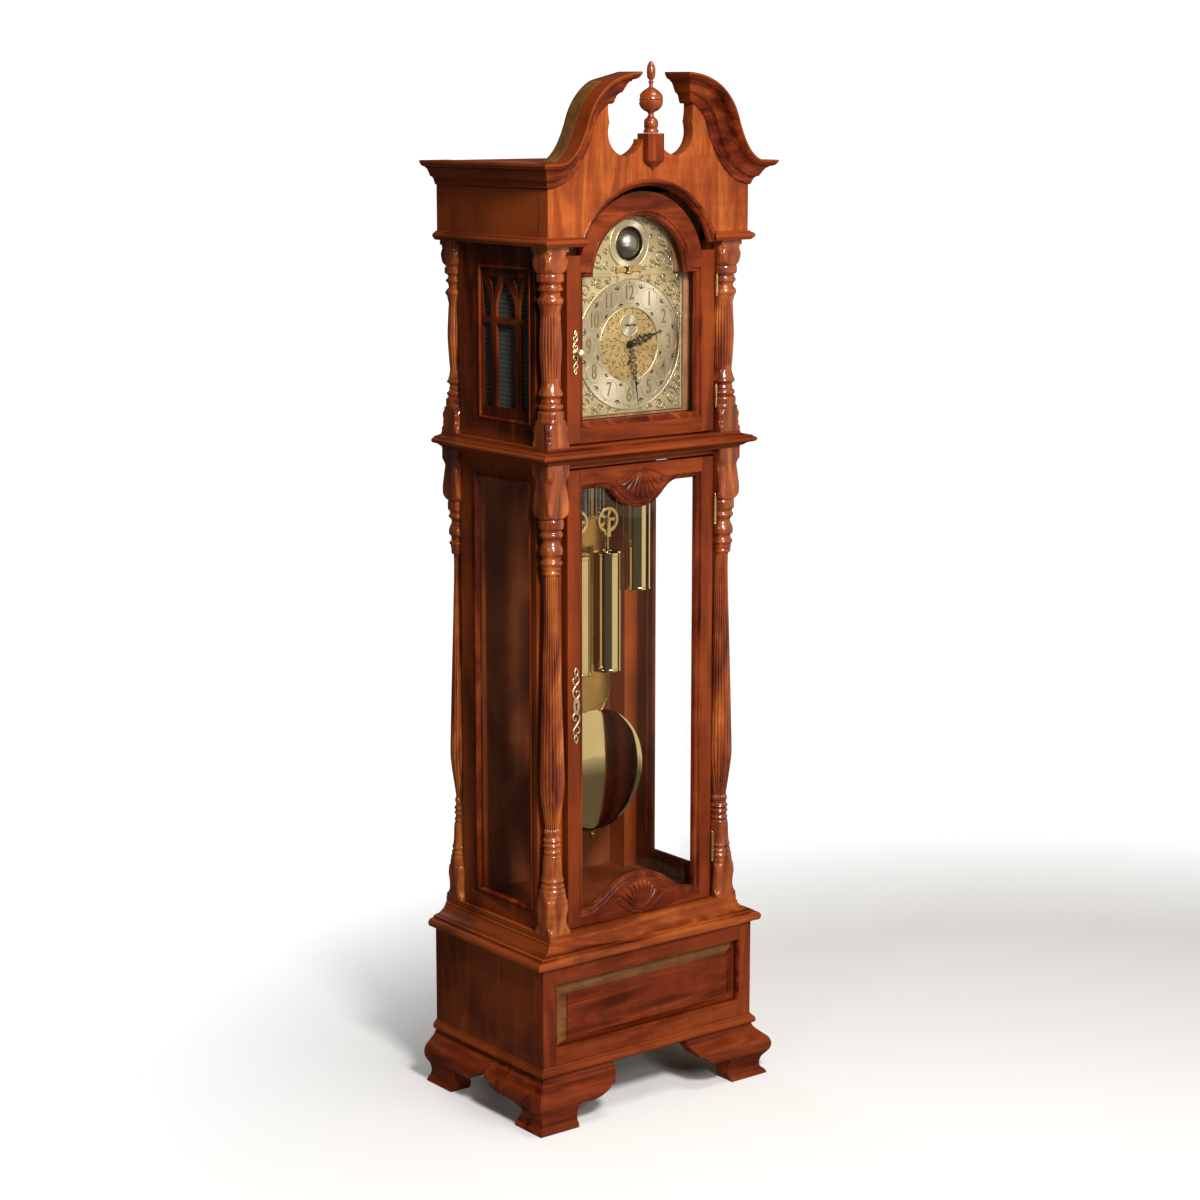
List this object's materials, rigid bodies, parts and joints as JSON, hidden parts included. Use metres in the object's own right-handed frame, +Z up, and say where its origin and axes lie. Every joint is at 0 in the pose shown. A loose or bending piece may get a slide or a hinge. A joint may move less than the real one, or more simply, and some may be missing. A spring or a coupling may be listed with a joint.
{
  "type": "grandfather clock",
  "caption": "Longcase clock with a swan-neck hood, glazed hood and waist doors, arched dial with moon ball, hanging weights and a swinging pendulum.",
  "frame": {"origin": "on the floor, at the middle of the width and depth", "axes": "+X to the clock's right as seen from the front, +Y to the back, +Z up"},
  "size_m": [0.624, 0.428, 2.161],
  "materials": {
    "cherry": "red-brown cherry under gloss lacquer",
    "dark_cherry": "dark red-brown cherry under gloss lacquer",
    "inner_wood": "matt stained veneer",
    "glass": "clear polished",
    "cloth": "ribbed woven speaker cloth",
    "brass": "lacquered satin brass",
    "polished_brass": "mirror-polished lacquered brass",
    "silvered": "silvered and brushed",
    "blackened_steel": "gloss black",
    "steel": "drawn satin steel",
    "cable": "fine twisted cable"
  },
  "bodies": {
    "case": {"foot_front_right": "cherry", "foot_front_left": "cherry", "foot_back_right": "cherry", "foot_back_left": "cherry", "base_panel": "cherry", "base_bottom_moulding": "cherry", "base_top_moulding": "cherry", "waist_post_front_right": "cherry", "waist_post_front_left": "cherry", "waist_post_back_right": "cherry", "waist_post_back_left": "cherry", "hood_post_front_right": "cherry", "hood_post_front_left": "cherry", "hood_post_back_right": "cherry", "hood_post_back_left": "cherry", "waist_moulding": "cherry", "crown_right": "cherry", "crown_left": "cherry", "fascia_board": "cherry", "finial_plinth": "cherry", "finial": "cherry", "base_case": "dark_cherry", "waist_side_right": "dark_cherry", "waist_side_left": "dark_cherry", "hood_side_right": "dark_cherry", "hood_side_left": "dark_cherry", "back_board": "inner_wood", "top_board": "inner_wood", "seat_board": "inner_wood", "waist_side_glass_right": "glass", "waist_side_glass_left": "glass", "speaker_cloth_right": "cloth", "speaker_cloth_left": "cloth", "waist_door_hinge_lower": "brass", "waist_door_hinge_upper": "brass", "hood_door_hinge_lower": "brass", "hood_door_hinge_upper": "brass", "dial_plate": "brass", "movement": "brass", "chime_rods": "steel"},
    "hood_door": {"hood_door_frame": "cherry", "hood_door_glass": "glass", "hood_door_knob": "brass"},
    "waist_door": {"waist_door_frame": "cherry", "waist_door_glass": "glass", "waist_door_escutcheon": "brass"},
    "pendulum": {"pendulum": "polished_brass"},
    "minute_hand": {"minute_hand": "blackened_steel"},
    "hour_hand": {"hour_hand": "blackened_steel"},
    "seconds_hand": {"seconds_hand": "blackened_steel"},
    "moon_ball": {"moon_ball": "steel"},
    "weight_left": {"weight_left": "polished_brass", "cable_left": "cable"},
    "pulley_left": {"pulley_left": "brass"},
    "weight_center": {"weight_center": "polished_brass", "cable_center": "cable"},
    "pulley_center": {"pulley_center": "brass"},
    "weight_right": {"weight_right": "polished_brass", "cable_right": "cable"},
    "pulley_right": {"pulley_right": "brass"}
  },
  "joints": [
    {"name": "hood_door_swing", "type": "hinge", "parent": "case", "child": "hood_door", "pos_m": [0.192, -0.145, 1.6], "axis": [0, 0, 1], "range_deg": [0, 90]},
    {"name": "waist_door_swing", "type": "hinge", "parent": "case", "child": "waist_door", "pos_m": [0.192, -0.145, 0.88], "axis": [0, 0, 1], "range_deg": [0, 90]},
    {"name": "pendulum_swing", "type": "hinge", "parent": "case", "child": "pendulum", "pos_m": [0, 0.026, 1.636], "axis": [0, 1, 0], "range_deg": [-3.5, 3.5]},
    {"name": "minute_hand_turn", "type": "hinge", "parent": "case", "child": "minute_hand", "pos_m": [0, -0.106, 1.597], "axis": [0, 1, 0], "continuous": true},
    {"name": "hour_hand_turn", "type": "hinge", "parent": "case", "child": "hour_hand", "pos_m": [0, -0.102, 1.597], "axis": [0, 1, 0], "continuous": true},
    {"name": "seconds_hand_turn", "type": "hinge", "parent": "case", "child": "seconds_hand", "pos_m": [0, -0.101, 1.636], "axis": [0, 1, 0], "continuous": true},
    {"name": "moon_turn", "type": "hinge", "parent": "case", "child": "moon_ball", "pos_m": [0, -0.08, 1.8], "axis": [0, 0, 1], "continuous": true},
    {"name": "weight_left_travel", "type": "slide", "parent": "case", "child": "weight_left", "axis": [0, 0, 1], "range_m": [-0.45, 0.16], "deforming": ["cable_left"]},
    {"name": "weight_center_travel", "type": "slide", "parent": "case", "child": "weight_center", "axis": [0, 0, 1], "range_m": [-0.45, 0.16], "deforming": ["cable_center"]},
    {"name": "weight_right_travel", "type": "slide", "parent": "case", "child": "weight_right", "axis": [0, 0, 1], "range_m": [-0.6, 0.005], "deforming": ["cable_right"]},
    {"name": "pulley_left_spin", "type": "hinge", "parent": "weight_left", "child": "pulley_left", "pos_m": [-0.079, -0.026, 1.228], "axis": [0, 1, 0], "range_deg": [-1440, 400]},
    {"name": "pulley_center_spin", "type": "hinge", "parent": "weight_center", "child": "pulley_center", "pos_m": [0, -0.026, 1.228], "axis": [0, 1, 0], "range_deg": [-1440, 400]},
    {"name": "pulley_right_spin", "type": "hinge", "parent": "weight_right", "child": "pulley_right", "pos_m": [0.079, -0.026, 1.394], "axis": [0, 1, 0], "range_deg": [-1440, 400]}
  ],
  "couplings": [
    {"joint": "hour_hand_turn", "follows": "minute_hand_turn", "ratio": 0.083333},
    {"joint": "pulley_left_spin", "follows": "weight_left_travel", "rad_per_m": 41.667},
    {"joint": "pulley_center_spin", "follows": "weight_center_travel", "rad_per_m": 41.667},
    {"joint": "pulley_right_spin", "follows": "weight_right_travel", "rad_per_m": 41.667}
  ]
}
